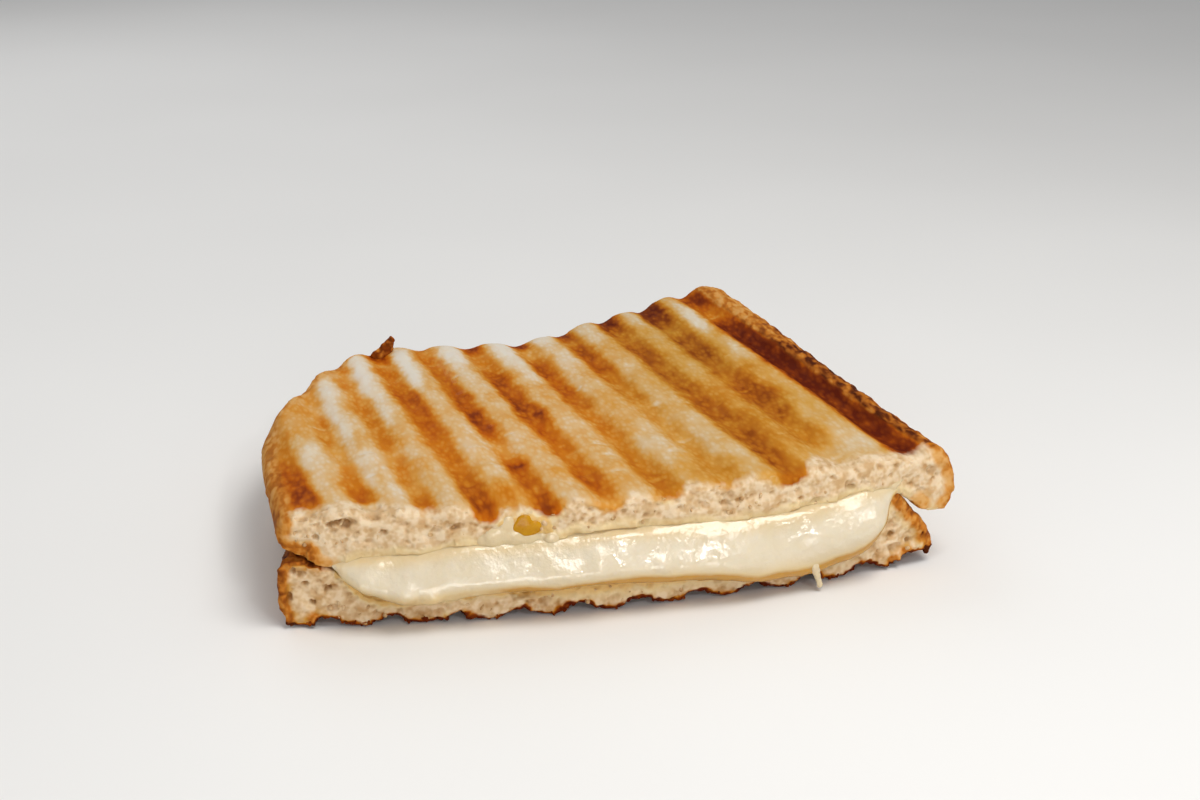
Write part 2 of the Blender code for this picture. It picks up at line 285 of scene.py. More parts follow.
# From bare crumb to burnt groove: (how toasted, colour)
goldenToast = [
    (-0.4, (0.67, 0.605, 0.51)), (-0.15, (0.655, 0.53, 0.38)), (0.1, (0.62, 0.385, 0.165)),
    (0.3, (0.59, 0.262, 0.046)), (0.5, (0.52, 0.150, 0.006)), (0.7, (0.415, 0.082, 0.002)),
    (0.9, (0.205, 0.030, 0.003)), (1.1, (0.100, 0.011, 0.0025)),
]
oliveToast = [
    (-0.4, (0.64, 0.575, 0.47)), (-0.15, (0.60, 0.485, 0.325)), (0.1, (0.55, 0.35, 0.14)),
    (0.3, (0.53, 0.285, 0.062)), (0.5, (0.455, 0.195, 0.018)), (0.7, (0.36, 0.115, 0.008)),
    (0.9, (0.20, 0.042, 0.004)), (1.1, (0.095, 0.012, 0.003)),
]
crustColours = [
    (0.0, (0.62, 0.34, 0.115)), (0.3, (0.54, 0.23, 0.045)), (0.5, (0.43, 0.14, 0.016)),
    (0.7, (0.27, 0.075, 0.010)), (0.85, (0.15, 0.034, 0.005)), (1.0, (0.07, 0.014, 0.003)),
]
# crumb by its tone; the darkest stops are the painted shade down in pores
crumbColours = [(0.0, (0.28, 0.135, 0.045)), (0.35, (0.49, 0.305, 0.145)), (0.7, (0.63, 0.45, 0.265)),
                (1.0, (0.72, 0.565, 0.38))]
# crumb soaked with grease; its darker stop, on the base right under the cheese's edge, is partly painted
# shade
greasyCrumbAndShade = [(0.5, (0.70, 0.55, 0.30)), (0.8, (0.64, 0.40, 0.13))]
breadFinish = {
    # sizes of its grain
    "broad": 8.0,
    "patches": 3.0,
    "medium": 2.4,
    "fine": 1.2,
    "facePores": 2.1,
    "crumbPores": 1.25,
    "granules": 1.5,
    "specks": 0.9,
    "goingBack": (1, 0.42, 1),  # the grain is longer going back
    # how much the spots change how toasted it is
    "broadTone": 0.05,
    "patchTone": 0.07,
    "speckTone": 0.06,
    "bumpStrength": 0.4,
    "bumpDepth": 0.3,
}


def toastedBread(name):
    layer, speckle, cells, sums, between, ramp, blend, bump, finish = nodeKit(name)
    toast, crumb, crust, pit, olive, grease = [layer(kind) for kind in breadLayers]
    baked = breadFinish["goingBack"]
    broad = speckle(breadFinish["broad"], 2.0)
    patchy = speckle(breadFinish["patches"], 1.0, 0.5, baked)
    medium = speckle(breadFinish["medium"], 2.0, 0.5, baked)
    fine = speckle(breadFinish["fine"], 1.0, 0.55, baked)
    pores = between(cells(breadFinish["facePores"], baked), 1.0, 0.0, 0.08, 0.36)
    smallPores = between(cells(breadFinish["crumbPores"]), 1.0, 0.0, 0.10, 0.38)
    granules = cells(breadFinish["granules"], baked)
    specks = cells(breadFinish["specks"], baked)
    broadTone, patchTone, speckTone = [breadFinish[kind] for kind in ("broadTone", "patchTone", "speckTone")]
    # toast breaks up into spots, and pores in it stay pale
    spotted = sums("ADD", toast, between(patchy, -patchTone, patchTone, 0.36, 0.64))
    spotted = sums("ADD", spotted, between(specks, -speckTone, speckTone, 0.15, 0.6))
    spotted = sums("ADD", spotted, between(broad, -broadTone, broadTone, 0.3, 0.7))
    spotted = sums("ADD", spotted, sums("MULTIPLY", pores, between(toast, 0.04, -0.12, 0.0, 0.8)))
    grains = sums("MULTIPLY", between(granules, -1.0, 1.0, 0.15, 0.55), between(toast, 0.02, 0.06, 0.3, 0.7))
    spotted = sums("ADD", spotted, grains)
    spotted = sums("SUBTRACT", spotted, sums("MULTIPLY", pit, 0.22))
    faceColour = blend(olive, ramp(spotted, goldenToast, -0.4, 1.1), ramp(spotted, oliveToast, -0.4, 1.1))
    # granular crust, darker between its granules and where it is toasted more
    grain = sums("ADD", between(fine, 0.10, -0.10, 0.40, 0.60), between(medium, 0.14, -0.14, 0.38, 0.62))
    coarse = sums("MULTIPLY", between(granules, -1.0, 1.1, 0.20, 0.60), between(toast, 0.06, 0.17, 0.4, 0.7))
    grain = sums("ADD", grain, coarse)
    crustColour = ramp(sums("ADD", toast, grain), crustColours)
    # open crumb, with painted shade down in its pores and holes, darker and more golden there
    tone = sums("ADD", between(medium, 0.60, 0.96, 0.35, 0.65), between(fine, -0.12, 0.12, 0.40, 0.60))
    tone = sums("SUBTRACT", tone, sums("MULTIPLY", smallPores, 0.15))
    tone = sums("SUBTRACT", tone, sums("MULTIPLY", pit, 0.42))
    soaked = between(grease, 0.0, 0.85, 0.0, 0.6)
    crumbColour = blend(soaked, ramp(tone, crumbColours), ramp(grease, greasyCrumbAndShade))
    crustEdge = between(sums("ADD", crust, between(medium, -0.25, 0.25, 0.35, 0.65)), 0.0, 1.0, 0.27, 0.77)
    crumbEdge = between(sums("ADD", crumb, between(medium, -0.22, 0.22, 0.35, 0.65)), 0.0, 1.0, 0.24, 0.88)
    colour = blend(crustEdge, faceColour, crustColour)
    colour = blend(crumbEdge, colour, crumbColour)
    roughness = sums("ADD", between(crumb, 0.65, 0.9), between(medium, -0.10, 0.10, 0.3, 0.7))
    roughness = sums("ADD", roughness, sums("MULTIPLY", grease, -0.4))
    rugged = sums("MAXIMUM", crust, crumb)
    height = sums("MULTIPLY", fine, between(rugged, 0.12, 0.8))
    height = sums("ADD", height, sums("MULTIPLY", medium, between(rugged, 0.25, 0.7)))
    height = sums("SUBTRACT", height, sums("MULTIPLY", pores, 0.25))
    height = sums("SUBTRACT", height, sums("MULTIPLY", smallPores, between(crumb, 0.0, 0.7)))
    relief = bump(height, breadFinish["bumpStrength"], breadFinish["bumpDepth"])
    return finish(colour, roughness, relief, Subsurface_Weight=0.10, Subsurface_Radius=(1.0, 0.5, 0.25),
                  Subsurface_Scale=mm, Specular_IOR_Level=0.02)


cheeseColours = {
    "body": [(0.3, (0.645, 0.55, 0.39)), (0.7, (0.69, 0.61, 0.47))],
    # towards its edges: on the filling painted shade towards its lower edge, and golden at its top
    "edges": (0.64, 0.46, 0.20),
    "lip": [(0.35, (0.65, 0.49, 0.23)), (1.0, (0.48, 0.235, 0.015))],  # where it is thin, darkest at its lower edge: partly its thinness, partly painted shade
}


def meltedCheese(name, glow):  # glow: how far light spreads inside it
    layer, speckle, cells, sums, between, ramp, blend, bump, finish = nodeKit(name)
    thin, edges = layer("thin"), layer("edges")
    cloudy = speckle(5.0, 3.0)
    fine = speckle(1.3, 3.0)
    body = blend(edges, ramp(cloudy, cheeseColours["body"]), cheeseColours["edges"])
    amount = between(sums("ADD", thin, between(cloudy, -0.12, 0.12, 0.3, 0.7)), 0.0, 1.0, 0.1, 0.9)
    colour = blend(amount, body, ramp(amount, cheeseColours["lip"]))
    roughness = between(cloudy, 0.10, 0.22, 0.3, 0.7)
    height = sums("ADD", sums("MULTIPLY", cloudy, 1.2), sums("MULTIPLY", fine, 0.5))
    return finish(colour, roughness, bump(height, 0.6, 0.5), Subsurface_Weight=0.5,
                  Subsurface_Radius=(1.0, 0.8, 0.55), Subsurface_Scale=glow * mm, Coat_Weight=0.3,
                  Coat_Roughness=0.08)


def goldenOil(name):
    layer, speckle, cells, sums, between, ramp, blend, bump, finish = nodeKit(name)
    cloudy = speckle(2.2, 3.0)
    colour = ramp(cloudy, [(0.3, (0.40, 0.16, 0.001)), (0.7, (0.51, 0.25, 0.003))])
    roughness = between(cloudy, 0.22, 0.34, 0.3, 0.7)
    return finish(colour, roughness, bump(cloudy, 0.15, 0.3), Subsurface_Weight=0.1,
                  Subsurface_Radius=(1.0, 0.6, 0.1), Subsurface_Scale=0.5 * mm, Specular_IOR_Level=0.2)


def paleFloor(name):
    layer, speckle, cells, sums, between, ramp, blend, bump, finish = nodeKit(name)
    cloudy = speckle(180.0, 2.0)
    colour = ramp(cloudy, [(0.3, (0.80, 0.79, 0.77)), (0.7, (0.83, 0.82, 0.80))])
    return finish(colour, between(cloudy, 0.6, 0.7), bump(speckle(2.0), 0.05, 0.1))


# The toasted faces

markFinish = {
    # amounts, and the size of each: how far the marks' sides stray, clouds over all, mottling in the marks
    "wobble": [(0.7, (4.5, 7.0, 9.0)), (0.4, (1.6, 1.9, 3.0))],
    "clouds": (0.09, (7.0, 10.0, 9.0)),
    "mottle": (0.12, (3.0, 4.5, 5.0)),
    "soft": (0.35, 1.5),  # a mark fades between these parts of its half width
}
topMarks = {
    "lean": 0.115,  # the grooves lean to the left going back, the last one more
    "lastLean": 0.15,
    "ground": 0.05,  # how toasted the rest is, and how much more on the right
    "rightGround": 0.11,
    # each groove: where its middle crosses the cut, its mark's half width, and how dark it is: y, amount
    "grooves": [
        {"x": 3.2, "half": 2.3,
         "dark": [(4, 0.0), (7, 0.7), (12, 0.82), (22, 0.7), (30, 0.5), (42, 0.35), (60, 0.25)]},
        {"x": 12.9, "half": 2.2,
         "dark": [(5, 0.0), (7, 0.55), (12, 0.62), (17, 0.42), (24, 0.34), (32, 0.2), (40, 0.4), (47, 0.42),
                  (56, 0.2), (70, 0.3)]},
        {"x": 21.9, "half": 2.2,
         "dark": [(1, 0.3), (4, 0.58), (9, 0.5), (14, 0.3), (22, 0.42), (29, 0.3), (34, 0.44), (42, 0.4),
                  (52, 0.42), (62, 0.3), (76, 0.3), (86, 0.5)]},
        {"x": 31.3, "half": 2.7,
         "dark": [(-3, 0.60), (2, 0.68), (12, 0.65), (18, 0.52), (26, 0.52), (36, 0.5), (46, 0.62),
                  (60, 0.66), (66, 0.52), (75, 0.5), (80, 0.3), (86, 0.75), (95, 0.9)]},
        {"x": 41.4, "half": 2.4,
         "dark": [(-3, 0.68), (4, 0.73), (10, 0.62), (19, 0.74), (23, 0.25), (29, 0.2), (34, 0.58),
                  (44, 0.78), (54, 0.7), (64, 0.64), (74, 0.5), (84, 0.5), (92, 0.4)]},
        {"x": 51.9, "half": 2.7,
         "dark": [(-1, 0.3), (4, 0.6), (10, 0.68), (18, 0.5), (30, 0.52), (39, 0.6), (44, 0.8), (52, 0.76),
                  (60, 0.66), (70, 0.64), (77, 0.42), (85, 0.3), (89, 0.7), (97, 0.78)]},
        {"x": 62.4, "half": 2.5,
         "dark": [(-1, 0.4), (5, 0.54), (14, 0.5), (25, 0.42), (42, 0.44), (50, 0.52), (60, 0.66),
                  (74, 0.64), (81, 0.4), (86, 0.3), (90, 0.8), (98, 0.84)]},
        {"x": 73.0, "half": 2.5,
         "dark": [(-1, 0.4), (6, 0.44), (16, 0.36), (30, 0.26), (44, 0.42), (58, 0.5), (68, 0.66),
                  (83, 0.66), (88, 0.42), (93, 0.86), (104, 0.92)]},
        {"x": 84.0, "half": 3.1,
         "dark": [(-2, 0.56), (5, 0.66), (12, 0.74), (20, 0.66), (30, 0.59), (40, 0.61), (52, 0.64),
                  (62, 0.63), (74, 0.70), (80, 0.66), (86, 0.52), (92, 0.7), (97, 0.98), (108, 0.98)]},
        {"x": 94.6, "half": 3.3,
         "dark": [(8, 0.0), (14, 0.42), (24, 0.50), (31, 0.68), (44, 0.73), (52, 0.60), (62, 0.64),
                  (72, 0.73), (80, 0.69), (86, 0.52), (92, 0.76), (99, 0.96), (110, 0.96)]},
        {"x": 109.0, "half": 3.5,
         "dark": [(3, 0.0), (6, 0.84), (10, 1.0), (20, 1.01), (30, 0.95), (40, 1.04), (52, 0.96),
                  (64, 1.05), (72, 0.95), (78, 0.99), (86, 0.86), (91, 0.45), (98, 0.6), (104, 0.86),
                  (111, 0.6)]},
    ],
    # broad golden places, then pale ones: x, y, how far they reach, how much they add
    "places": [
        (36.5, 6.0, 4.0, 8.0, 0.30), (82.0, 38.0, 6.0, 20.0, 0.24), (87.0, 20.0, 7.0, 15.0, 0.28),
        (92.5, 38.0, 5.0, 11.0, 0.26), (72.0, 5.0, 8.0, 8.0, 0.16), (60.0, 6.0, 6.0, 9.0, 0.12),
        (93.0, 50.0, 3.0, 15.0, 0.20), (-2.0, 24.0, 4.5, 30.0, 0.30), (3.0, 50.0, 5.0, 16.0, 0.22),
        (46.0, 30.0, 4.0, 14.0, 0.06), (92.4, 2.4, 1.3, 1.3, 0.75), (94.4, 0.6, 1.1, 1.1, 0.7),
        (78.0, 88.0, 3.0, 6.0, 0.12), (99.0, 96.0, 5.0, 12.0, 0.22),
        (9.0, 55.0, 2.8, 22.0, -0.36), (10.5, 38.0, 2.3, 12.0, -0.28), (16.5, 72.0, 3.2, 19.0, -0.52),
        (19.2, 54.0, 2.2, 13.0, -0.26), (26.5, 72.0, 2.6, 14.0, -0.58), (26.0, 84.0, 2.8, 7.0, -0.44),
        (37.0, 84.0, 3.2, 14.0, -0.48), (38.5, 65.0, 2.6, 10.0, -0.15), (48.0, 88.0, 3.4, 16.0, -0.50),
        (50.5, 71.0, 2.3, 11.0, -0.30), (57.5, 93.0, 3.2, 13.0, -0.40), (59.5, 75.0, 2.5, 12.0, -0.20),
        (68.0, 93.0, 3.2, 13.0, -0.22), (79.0, 98.0, 3.2, 11.0, -0.28), (90.0, 90.0, 2.8, 15.0, -0.50),
        (93.6, 70.0, 2.2, 9.0, -0.22), (75.0, 25.0, 3.5, 17.0, -0.18), (65.0, 24.0, 2.6, 14.0, -0.14),
        (4.8, 28.0, 2.2, 15.0, -0.16), (13.8, 18.0, 2.4, 12.0, -0.18), (99.0, 12.0, 7.0, 10.0, -0.20),
        (17.6, 9.0, 2.4, 9.0, -0.16), (78.2, 8.0, 2.6, 9.0, -0.18),
    ],
}


def markedFace(points, marks):
    x, y = points[:, 0].copy(), points[:, 1]
    (broad, broadSize), (small, smallSize) = markFinish["wobble"]
    x += broad * uneven(points, broadSize, 1.0, True) + small * uneven(points, smallSize, 2.0, True)
    clouds, cloudSize = markFinish["clouds"]
    toast = marks["ground"] + marks["rightGround"] * ease(x, 30.0, 85.0)
    toast += clouds * uneven(points, cloudSize, 3.0, True)
    for px, py, reachX, reachY, amount in marks["places"]:
        away = np.hypot((x - px) / reachX, (y - py) / reachY)
        toast += amount * (1.0 - ease(away, 0.2, 1.2))
    mottled, mottleSize = markFinish["mottle"]
    mottle = 1.0 + mottled * uneven(points, mottleSize, 4.0, True)
    for number, groove in enumerate(marks["grooves"]):
        lean = marks["lastLean"] if number == len(marks["grooves"]) - 1 else marks["lean"]
        away = np.abs(x - groove["x"] + lean * y) / groove["half"]
        far, dark = zip(*groove["dark"])
        inside = 1.0 - ease(away, *markFinish["soft"])
        amount = np.interp(y, far, dark) * inside * mottle
        toast += np.maximum(amount - toast * inside, 0.0)
    return toast


def nearestOf(points, chosen, asked):
    tree = kdtree.KDTree(int(chosen.sum()))
    for number, place in enumerate(points[chosen]):
        tree.insert(place, number)
    tree.balance()
    away = np.full(len(points), 99.0)
    for number in np.nonzero(asked)[0]:
        away[number] = tree.find(points[number])[2]
    return away


# The highest and lowest chosen points in each millimetre along the cut, evened out
def heightsAlong(points, chosen, before=8, count=136):
    column = np.round(points[:, 0]).astype(int) + before
    highest, lowest = np.full(count, -99.0), np.full(count, 99.0)
    np.maximum.at(highest, column[chosen], points[chosen, 2])
    np.minimum.at(lowest, column[chosen], points[chosen, 2])
    found = highest > -99.0
    places = np.arange(count)[found] - before
    heights = []
    for line in (highest, lowest):
        evened = np.convolve(np.pad(line[found], 2, mode="edge"), np.ones(5) / 5, "valid")
        heights.append(np.interp(points[:, 0], places, evened))
    return heights


def porous(points, size, largest, seed, stretch=1.4):  # how deep in a round pore each point is, up to 1
    depth = np.zeros(len(points))
    for number, place in enumerate(points):
        spot = Vector((place[0] / (size * stretch), place[1] / size, place[2] / size + seed))
        spot += 0.22 * noise.noise_vector(spot * 1.7)
        away, centres = noise.voronoi(spot)
        reach = (0.5 + 0.5 * noise.cell(centres[0] * 57.0)) ** 1.4
        part = away[0] / (largest * max(reach, 0.05))
        if part < 1.0:
            depth[number] = reach * (1.0 - part * part) ** 0.7
    return depth


crumbPores = {
    # size, largest pore against it, stretch along the cut, depth, how much painted shade it gets
    "kinds": [(3.0, 0.40, 1.4, 1.1, 0.7), (1.7, 0.46, 1.4, 0.70, 0.70), (1.0, 0.55, 1.2, 0.40, 0.75)],
    "crooked": 0.35,  # how uneven the holes' sides are
}


def sinkCrumb(piece, points, normals, openness, holes, seed):  # sinks pores and holes, and gives the painted shade down in them
    bared = np.nonzero(openness > 0.15)[0]
    # painted shade down in the pores and holes, as well as their depth
    sink, pit = np.zeros(len(bared)), np.zeros(len(bared))
    for number, (size, largest, stretch, deep, dark) in enumerate(crumbPores["kinds"]):
        pore = porous(points[bared], size, largest, seed + 10.0 * number, stretch)
        sink += deep * pore
        pit += dark * pore
    sink *= openness[bared]
    pit *= openness[bared]
    crooked = crumbPores["crooked"] * uneven(points[bared], 0.9, seed + 40.0)
    for x, z, halfWidth, halfHeight, tilt, deep in holes:
        right, up = points[bared, 0] - x + crooked, points[bared, 2] - z + crooked
        along = right * math.cos(tilt) + up * math.sin(tilt)
        across = up * math.cos(tilt) - right * math.sin(tilt)
        inside = np.sqrt(np.clip(1.0 - (along / halfWidth) ** 2 - (across / halfHeight) ** 2, 0.0, 1.0))
        sink += deep * inside
        pit += 1.1 * inside
    moved = readPoints(piece)
    moved[bared] -= normals[bared] * sink[:, None]
    writePoints(piece, moved)
    pitsAndShade = np.zeros(len(points))
    pitsAndShade[bared] = pit
    return pitsAndShade


def sinkSkin(piece, points, normals, amount):  # small craters in the toasted face, which stay paler
    chosen = np.nonzero(amount > 0.3)[0]
    crater = porous(points[chosen], topSlice["craterSize"], 0.30, 31.0) * amount[chosen]
    moved = readPoints(piece)
    moved[chosen] -= normals[chosen] * (topSlice["craterDepth"] * crater)[:, None]
    writePoints(piece, moved)
    pitsAndShade = np.zeros(len(points))
    pitsAndShade[chosen] = crater
    return pitsAndShade


topSlice = {
    "voxel": 1.0,
    # how far the crumb is bared behind the cut: x, distance
    "reach": [(-3, 3.0), (1, 4.2), (10, 5.2), (15, 4.6), (20, 2.6), (26, 3.0), (30, -0.4), (32, -0.4),
              (35, 3.2), (38.5, 3.4), (41, -0.6), (43, -0.6), (46, 2.6), (50, -1.6), (53, -1.6), (56, 2.4),
              (61, 0.2), (66, 2.6), (71, 0.6), (76, 2.0), (81, -2.4), (85, -2.4), (88, 4.0), (91, 7.5),
              (94, 4.6), (100, 4.4), (105, 4.2), (108, 3.0), (112, 5.0)],
    # its underside sags on to the cheese and the base: x, how far
    "sag": [(-4, 1.4), (6, 1.4), (14, 0.8), (102, 0.8), (107, 0.0)],
    "rim": 1.9,  # the right crust starts this far past the middle of the last groove
    "rimSoft": 2.3,  # the crust at the cut's ends fades over this
    "cutDepth": 2.6,  # the cut's own points lie this close behind its line
    "craterSize": 4.2,  # shallow craters in the toasted face
    "craterDepth": 0.15,
    "oilStain": (37.6, 16.4, 5.0, 2.8),  # x, z, half width, half height
    # relief: name, size, depth, where, octaves
    "relief": [("breadSwell", 6.0, 0.45, "skin", 1), ("breadSkin", 2.2, 0.09, "skin", 0),
               ("crustLumps", 2.6, 0.45, "rind", 0), ("crustGrain", 1.2, 0.30, "rind", 0),
               ("crumbWave", 5.0, 0.9, "bared", 1), ("crumbTear", 1.6, 0.35, "bared", 1)],
    # its left outline, which the left crust follows: y, x
    "leftEdge": [(2.9, -3.0), (35.0, -4.3), (52.0, -2.8), (70.0, 5.5), (84.0, 12.5), (92.0, 20.0)],
    # how toasted the right and the left crust are, going back
    "rightTone": [(4, 0.38), (9, 0.56), (14, 0.66), (60, 0.66), (74, 0.54), (86, 0.34), (110, 0.26)],
    "leftTone": [(0, 0.46), (25, 0.36), (50, 0.14), (75, 0.26), (95, 0.40)],
    # holes in the cut: x, z, half width, half height, tilt, depth
    "holes": [(6.6, 19.0, 1.7, 0.55, 0.25, 1.6), (8.2, 18.3, 0.7, 0.9, -0.5, 1.2),
              (3.4, 16.6, 0.6, 0.45, 0.0, 0.9), (26.3, 17.6, 1.4, 0.6, 0.2, 0.5),
              (14.5, 17.2, 0.6, 0.5, 0.0, 0.8), (57.5, 15.6, 0.8, 0.5, 0.1, 0.8),
              (72.0, 17.5, 1.0, 0.5, -0.2, 0.8), (95.5, 17.4, 0.8, 0.55, 0.3, 0.8),
              (88.5, 15.8, 0.9, 0.5, 0.1, 0.7)],
}


def makeTopSlice(material):
    piece = castFromNode("bread_top", "toastedTopSlice", topSlice["voxel"], 8)
    # its underside sags at the cut, and the edge over the cut is torn round
    points = readPoints(piece)
    under = ease(-readNormals(piece)[:, 2], 0.0, 0.6)
    behind = behindCut(points)
    sag = np.interp(points[:, 0], *zip(*topSlice["sag"])) * (1.0 - ease(behind, 8.0, 20.0))
    points[:, 2] -= sag * under
    writePoints(piece, points)
    edgeAway = np.hypot(behind, points[:, 2] - heightsAlong(points, behind < 2.5)[0])
    groupPoints(piece, "lip", 1.0 - ease(edgeAway, 1.0, 4.5))
    finishWith("SMOOTH", factor=0.5, iterations=9, vertex_group="lip")
    # finer faces where detail shows, finest on the cut
    cutDepth, rimSoft = topSlice["cutDepth"], topSlice["rimSoft"]
    centres, normals, behind = faceFacts(piece)
    rightEnd = (centres[:, 0] > 101.0) & (centres[:, 1] < 22.0)
    splitFaces(piece, (normals[:, 2] > -0.35) | (behind < 3.0) | rightEnd)
    centres, normals, behind = faceFacts(piece)
    splitFaces(piece, (behind < cutDepth) & (normals[:, 1] < -0.35))
    easeFacets(2)
    # where each point lies
    points = readPoints(piece)
    normals = readNormals(piece)
    x, y = points[:, 0], points[:, 1]
    behind = behindCut(points)
    upward, forward = normals[:, 2], -normals[:, 1]
    isCut = (forward > 0.6) & (behind < cutDepth)
    isSide = (np.abs(upward) < 0.6) & ~isCut & (behind > 0.3) & ((x < 3.0) | (x > 108.0) | (behind > 9.5))
    isInner = upward < -0.6
    sideAway = nearestOf(points, isSide & (behind < 9.0), behind < 6.0)
    innerAway = nearestOf(points, isInner & (behind < 9.0), behind < 5.0)
    # crust on the sides, the rims of the cut and its lower left end
    crust = ease(1.0 - np.abs(upward), 0.30, 0.62) * (behind > cutDepth)
    rimWidth = 0.7 + 0.8 * ease(x, 95.0, 105.0)
    crust = np.maximum(crust, 1.0 - ease(sideAway, rimWidth, rimWidth + rimSoft))
    leftEnd = (1.0 - ease(innerAway, 1.4, 2.8)) * (1.0 - ease(x, 4.5, 8.0))
    crust = np.maximum(crust, leftEnd)
    past = x - topMarks["grooves"][-1]["x"] + topMarks["lastLean"] * y
    raised = ease(past, topSlice["rim"], topSlice["rim"] + 1.2) * (upward > -0.3)
    crust = np.maximum(crust, raised * (behind > 4.0))
    fromLeft = x - np.interp(y, *zip(*topSlice["leftEdge"]))
    crust = np.maximum(crust, 0.8 * (1.0 - ease(fromLeft, 1.6, 4.2)) * (behind > 4.0))
    # bare crumb on the cut and a little behind it
    reach = np.interp(x, *zip(*topSlice["reach"])) + 0.9 * uneven(points, (1.8, 9.0, 9.0), 5.0, True)
    drop = np.maximum(heightsAlong(points, behind < 2.5)[0] - points[:, 2] - 0.8, 0.0) * (behind < 3.5)
    path = behind - 2.6 * drop  # back over the face, or down the cut
    crumb = 1.0 - ease(path, reach - 2.6, reach + 2.6)
    crumb *= ease(sideAway, rimWidth, rimWidth + rimSoft)
    crumb = np.where((upward < -0.35) & (sideAway > rimWidth + 0.2), 1.0, crumb) * (1.0 - leftEnd)
    # toast marks, and the crust's own tone over them
    toast = markedFace(points, topMarks)
    isRight = x > 55.0
    rightTone, leftTone = [np.interp(y, *zip(*topSlice[side])) for side in ("rightTone", "leftTone")]
    tone = np.where(isRight, rightTone, leftTone)
    tone -= 0.14 * isRight * (1.0 - ease(upward, 0.2, 0.6))
    toast += (tone - toast) * crust * np.where(toast > tone, np.where(past > 0.0, 0.8, 0.2), 1.0)
    toast -= 0.26 * ease(sideAway, 0.3, 2.4) * (1.0 - ease(sideAway, 3.2, 4.5)) * (behind < cutDepth)
    # relief, with cheese clinging to the lower edge of the cut
    groupPoints(piece, "bared", crumb * (forward > 0.2) * (upward > -0.75))
    groupPoints(piece, "skin", (upward > 0.2) * (1.0 - crumb))
    groupPoints(piece, "rind", crust * (0.15 + 0.85 * isRight))
    for relief in topSlice["relief"]:
        roughen(*relief)
    clings = (1.0 - ease(innerAway + 1.1 * uneven(points, (3.0, 3.0, 1.6), 9.0), 0.5, 2.2)) * (x > 6.0)
    openness = crumb * ease(forward + 0.5 * upward, 0.0, 0.5) * (upward > -0.75) * (1.0 - 0.8 * clings)
    pitsAndShade = sinkCrumb(piece, points, normals, openness, topSlice["holes"], 3.0)
    pitsAndShade += sinkSkin(piece, points, normals, (upward > 0.3) * (1.0 - crumb))
    olive = 0.2 + 0.65 * ease(x, 45.0, 85.0) + 0.35 * uneven(points, 24.0, 7.0, True)
    olive -= 0.6 * ease(past, -5.5, -3.0)
    oilX, oilZ, oilWidth, oilHeight = topSlice["oilStain"]
    fromOil = np.hypot((x - oilX) / oilWidth, (points[:, 2] - oilZ) / oilHeight)
    fromOil += 0.3 * uneven(points, 1.4, 19.0)
    grease = np.maximum(0.55 * clings, (1.0 - ease(fromOil, 0.6, 1.15)) * (forward > 0.0))
    breadValues(piece, toast=toast, crumb=crumb, crust=crust, pit=pitsAndShade, olive=olive, grease=grease)
    rideOn(piece, material)
    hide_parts("bread_top")
    print("top slice", len(piece.data.polygons), "faces")
    return piece


baseMarks = {
    "lean": 0.115,
    "lastLean": 0.115,
    "ground": 0.42,
    "rightGround": 0.0,
    "grooves": [{"x": 5.0 + 10.4 * number, "half": 2.6, "dark": [(0, 0.9), (40, 0.75), (110, 0.8)]}
                for number in range(11)],
    "places": [],
}
baseSlice = {
    "voxel": 1.0,
    "rightRise": 1.3,  # how far its top rises at the cut's right end
    "rimSoft": 2.2,  # the crust at the cut's ends fades over this
    "sideTone": 0.48,  # how toasted its sides are
    "edgeTone": 1.05,  # and the jagged edge under the cut, toasted and partly painted shade
    # relief: name, size, depth, where, octaves
    "relief": [("baseSkin", 1.6, 0.2, "skin", 0), ("baseLumps", 2.4, 0.6, "rind", 0),
               ("baseCrust", 1.2, 0.6, "rind", 0), ("baseWave", 4.0, 0.9, "bared", 1),
               ("baseCrumb", 1.6, 0.4, "bared", 1), ("baseEdge", 1.3, 1.4, "edge", 1)],
    # holes in the cut, as in the upper slice
    "holes": [(-1.7, 5.6, 0.75, 0.8, 0.0, 1.5), (-0.6, 10.6, 0.55, 0.6, 0.3, 1.2),
              (2.2, 4.8, 0.7, 0.55, 0.3, 1.2), (4.6, 7.4, 0.8, 0.5, -0.4, 0.9),
              (1.2, 8.2, 0.6, 0.5, 0.0, 0.8), (12.5, 2.6, 0.7, 0.5, 0.2, 0.7),
              (103.5, 7.0, 0.9, 0.6, 0.3, 0.9), (107.0, 5.2, 0.7, 0.5, -0.2, 0.8)],
}


